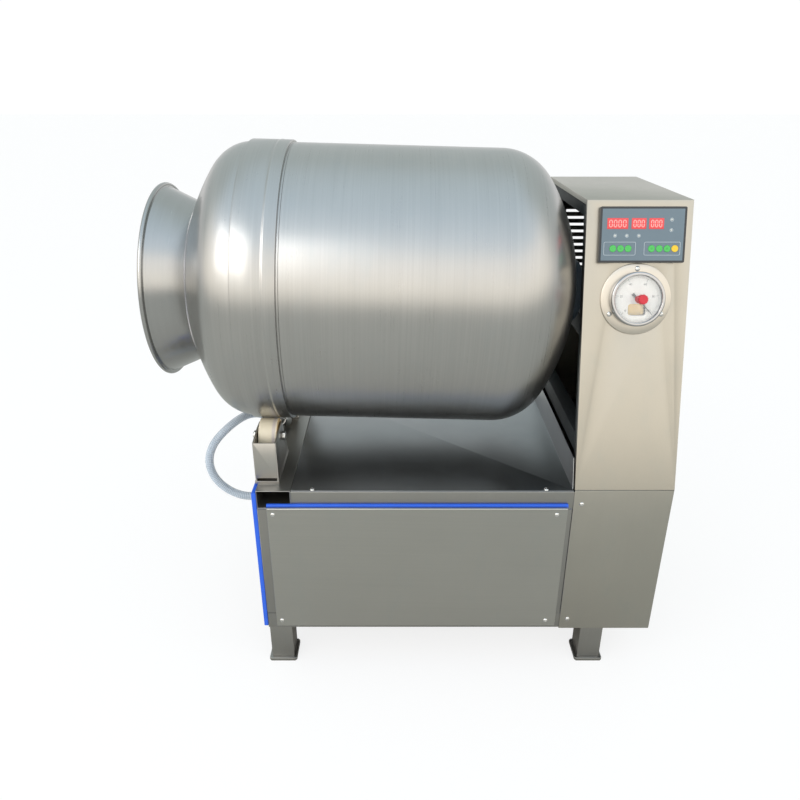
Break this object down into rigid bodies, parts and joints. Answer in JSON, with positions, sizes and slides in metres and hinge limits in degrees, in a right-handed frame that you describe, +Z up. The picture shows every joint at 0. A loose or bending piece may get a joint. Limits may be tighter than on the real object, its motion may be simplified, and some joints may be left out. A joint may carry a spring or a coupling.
{
  "type": "meat vacuum tumbler",
  "caption": "Stainless meat vacuum tumbler: tilted drum with flared mouth on two rollers and a rear shaft, belt-driven from the base, with a control column, vacuum gauge and hose",
  "frame": {"origin": "on the floor under the middle of the machine's width and depth, the hanging hose left out", "axes": "+Z up; +X from the drum's mouth towards the control column; +Y from the operator's side, where the controls are, to the back"},
  "size_m": [1.0433, 0.57, 1.1022],
  "materials": {
    "satin_frame": "satin stainless tube and plate",
    "dark_deck": "polished stainless sheet that reflects the dark drum",
    "brushed_panel": "stainless sheet, brushed along its length",
    "blue_seal": "blue silicone strip",
    "bright_screw": "polished stainless fastener or fitting",
    "column_steel": "stainless sheet, brushed up and down",
    "cast_housing": "painted cast iron",
    "bracket_steel": "stainless plate, worn at its edges",
    "motor_paint": "blue-grey machine paint on cast ribs",
    "belt_rubber": "black fabric-faced rubber",
    "bowl_plastic": "smoked bowl of the separator",
    "black_plastic": "black nylon",
    "control_frame": "dark blue-black moulded frame",
    "control_membrane": "dark membrane sheet with fine raised texture",
    "red_window": "red filter over the digits",
    "lamp_lens": "small lamp lens",
    "gauge_steel": "turned and polished stainless",
    "gauge_glass": "clear flat glass",
    "dial_white": "white printed dial",
    "movement_brass": "brass movement plates",
    "clear_hose": "clear hose with a steel wire helix",
    "drum_steel": "stainless, ground round the drum",
    "flare_steel": "stainless, polished inside the mouth",
    "roller_nylon": "cream cast nylon",
    "lid_acrylic": "clear acrylic disc",
    "seal_rubber": "white food-grade silicone",
    "needle_black": "black pointer",
    "red_knob": "moulded red knob",
    "key_green": "domed green key",
    "key_yellow": "domed yellow key"
  },
  "bodies": {
    "frame": {"base_frame": "satin_frame", "deck_plate": "dark_deck", "machine_tray": "satin_frame", "front_panel": "brushed_panel", "left_panel": "brushed_panel", "back_panel": "brushed_panel", "panel_seals": "blue_seal", "panel_screws": "bright_screw", "column_frame": "satin_frame", "column_shell": "column_steel", "column_lower_cover": "brushed_panel", "column_back_cover": "column_steel", "bearing_support": "satin_frame", "pillow_blocks": "cast_housing", "frame_bolts": "bright_screw", "roller_brackets": "bracket_steel", "roller_axles": "bright_screw", "gearbox": "cast_housing", "drive_motor": "motor_paint", "drive_belts": "belt_rubber", "vacuum_pump": "motor_paint", "water_separator": "bowl_plastic", "hose_port": "bright_screw", "cable_gland": "black_plastic", "control_housing": "control_frame", "control_face": "control_membrane", "display_windows": "red_window", "indicator_lamps": "lamp_lens", "gauge_case": "gauge_steel", "gauge_bezel": "gauge_steel", "gauge_glass": "gauge_glass", "gauge_dial": "dial_white", "gauge_movement": "movement_brass", "vacuum_hose": "clear_hose", "hose_coupling": "bright_screw"},
    "drum": {"drum_barrel": "drum_steel", "front_dome": "drum_steel", "rear_dome": "drum_steel", "track_band": "drum_steel", "mouth_flare": "flare_steel", "drum_flights": "drum_steel", "rear_hub": "satin_frame", "drum_shaft": "bright_screw", "drum_pulley": "cast_housing"},
    "motor_pulley_set": {"motor_pulley": "cast_housing"},
    "front_roller_set": {"front_roller": "roller_nylon"},
    "rear_roller_set": {"rear_roller": "roller_nylon"},
    "lid": {"lid_disc": "lid_acrylic", "lid_seal": "seal_rubber", "lid_fittings": "bright_screw"},
    "swivel": {"vacuum_swivel": "bright_screw"},
    "needle": {"gauge_needle": "needle_black"},
    "knob": {"setting_knob": "red_knob"},
    "key_1_cap": {"key_1": "key_green"},
    "key_2_cap": {"key_2": "key_green"},
    "key_3_cap": {"key_3": "key_green"},
    "key_4_cap": {"key_4": "key_green"},
    "key_5_cap": {"key_5": "key_green"},
    "key_6_cap": {"key_6": "key_green"},
    "key_7_cap": {"key_7": "key_yellow"}
  },
  "joints": [
    {"name": "drum_spin", "type": "hinge", "parent": "frame", "child": "drum", "pos_m": [-0.03208, 0, 0.80962], "axis": [0.9997, 0, -0.0262], "continuous": true},
    {"name": "motor_pulley_spin", "type": "hinge", "parent": "frame", "child": "motor_pulley_set", "pos_m": [0.40287, 0, 0.22801], "axis": [0.9997, 0, -0.0262], "continuous": true},
    {"name": "front_roller_spin", "type": "hinge", "parent": "frame", "child": "front_roller_set", "pos_m": [-0.30349, -0.147, 0.5298], "axis": [0.9997, 0, -0.0262], "continuous": true},
    {"name": "rear_roller_spin", "type": "hinge", "parent": "frame", "child": "rear_roller_set", "pos_m": [-0.30349, 0.147, 0.5298], "axis": [0.9997, 0, -0.0262], "continuous": true},
    {"name": "lid_slide", "type": "slide", "parent": "drum", "child": "lid", "axis": [-0.9997, 0, 0.0262], "range_m": [0, 0.12]},
    {"name": "swivel_spin", "type": "hinge", "parent": "lid", "child": "swivel", "pos_m": [-0.46898, 0, 0.82106], "axis": [0.9997, 0, -0.0262], "continuous": true},
    {"name": "needle_sweep", "type": "hinge", "parent": "frame", "child": "needle", "pos_m": [0.41891, -0.15928, 0.82681], "axis": [0, 0.9659, -0.2588], "range_deg": [-270, 0], "stiffness_Nm_per_rad": 0.005},
    {"name": "setting_knob_turn", "type": "hinge", "parent": "frame", "child": "knob", "pos_m": [0.41891, -0.16797, 0.82914], "axis": [0, 0.9659, -0.2588], "range_deg": [-135, 135]},
    {"name": "key_1_press", "type": "slide", "parent": "frame", "child": "key_1_cap", "axis": [0, 0.9659, -0.2588], "range_m": [0, 0.0006], "stiffness_N_per_m": 800},
    {"name": "key_2_press", "type": "slide", "parent": "frame", "child": "key_2_cap", "axis": [0, 0.9659, -0.2588], "range_m": [0, 0.0006], "stiffness_N_per_m": 800},
    {"name": "key_3_press", "type": "slide", "parent": "frame", "child": "key_3_cap", "axis": [0, 0.9659, -0.2588], "range_m": [0, 0.0006], "stiffness_N_per_m": 800},
    {"name": "key_4_press", "type": "slide", "parent": "frame", "child": "key_4_cap", "axis": [0, 0.9659, -0.2588], "range_m": [0, 0.0006], "stiffness_N_per_m": 800},
    {"name": "key_5_press", "type": "slide", "parent": "frame", "child": "key_5_cap", "axis": [0, 0.9659, -0.2588], "range_m": [0, 0.0006], "stiffness_N_per_m": 800},
    {"name": "key_6_press", "type": "slide", "parent": "frame", "child": "key_6_cap", "axis": [0, 0.9659, -0.2588], "range_m": [0, 0.0006], "stiffness_N_per_m": 800},
    {"name": "key_7_press", "type": "slide", "parent": "frame", "child": "key_7_cap", "axis": [0, 0.9659, -0.2588], "range_m": [0, 0.0006], "stiffness_N_per_m": 800}
  ],
  "couplings": [
    {"joint": "motor_pulley_spin", "follows": "drum_spin", "ratio": 2},
    {"joint": "front_roller_spin", "follows": "drum_spin", "ratio": -7.7027},
    {"joint": "rear_roller_spin", "follows": "drum_spin", "ratio": -7.7027}
  ]
}
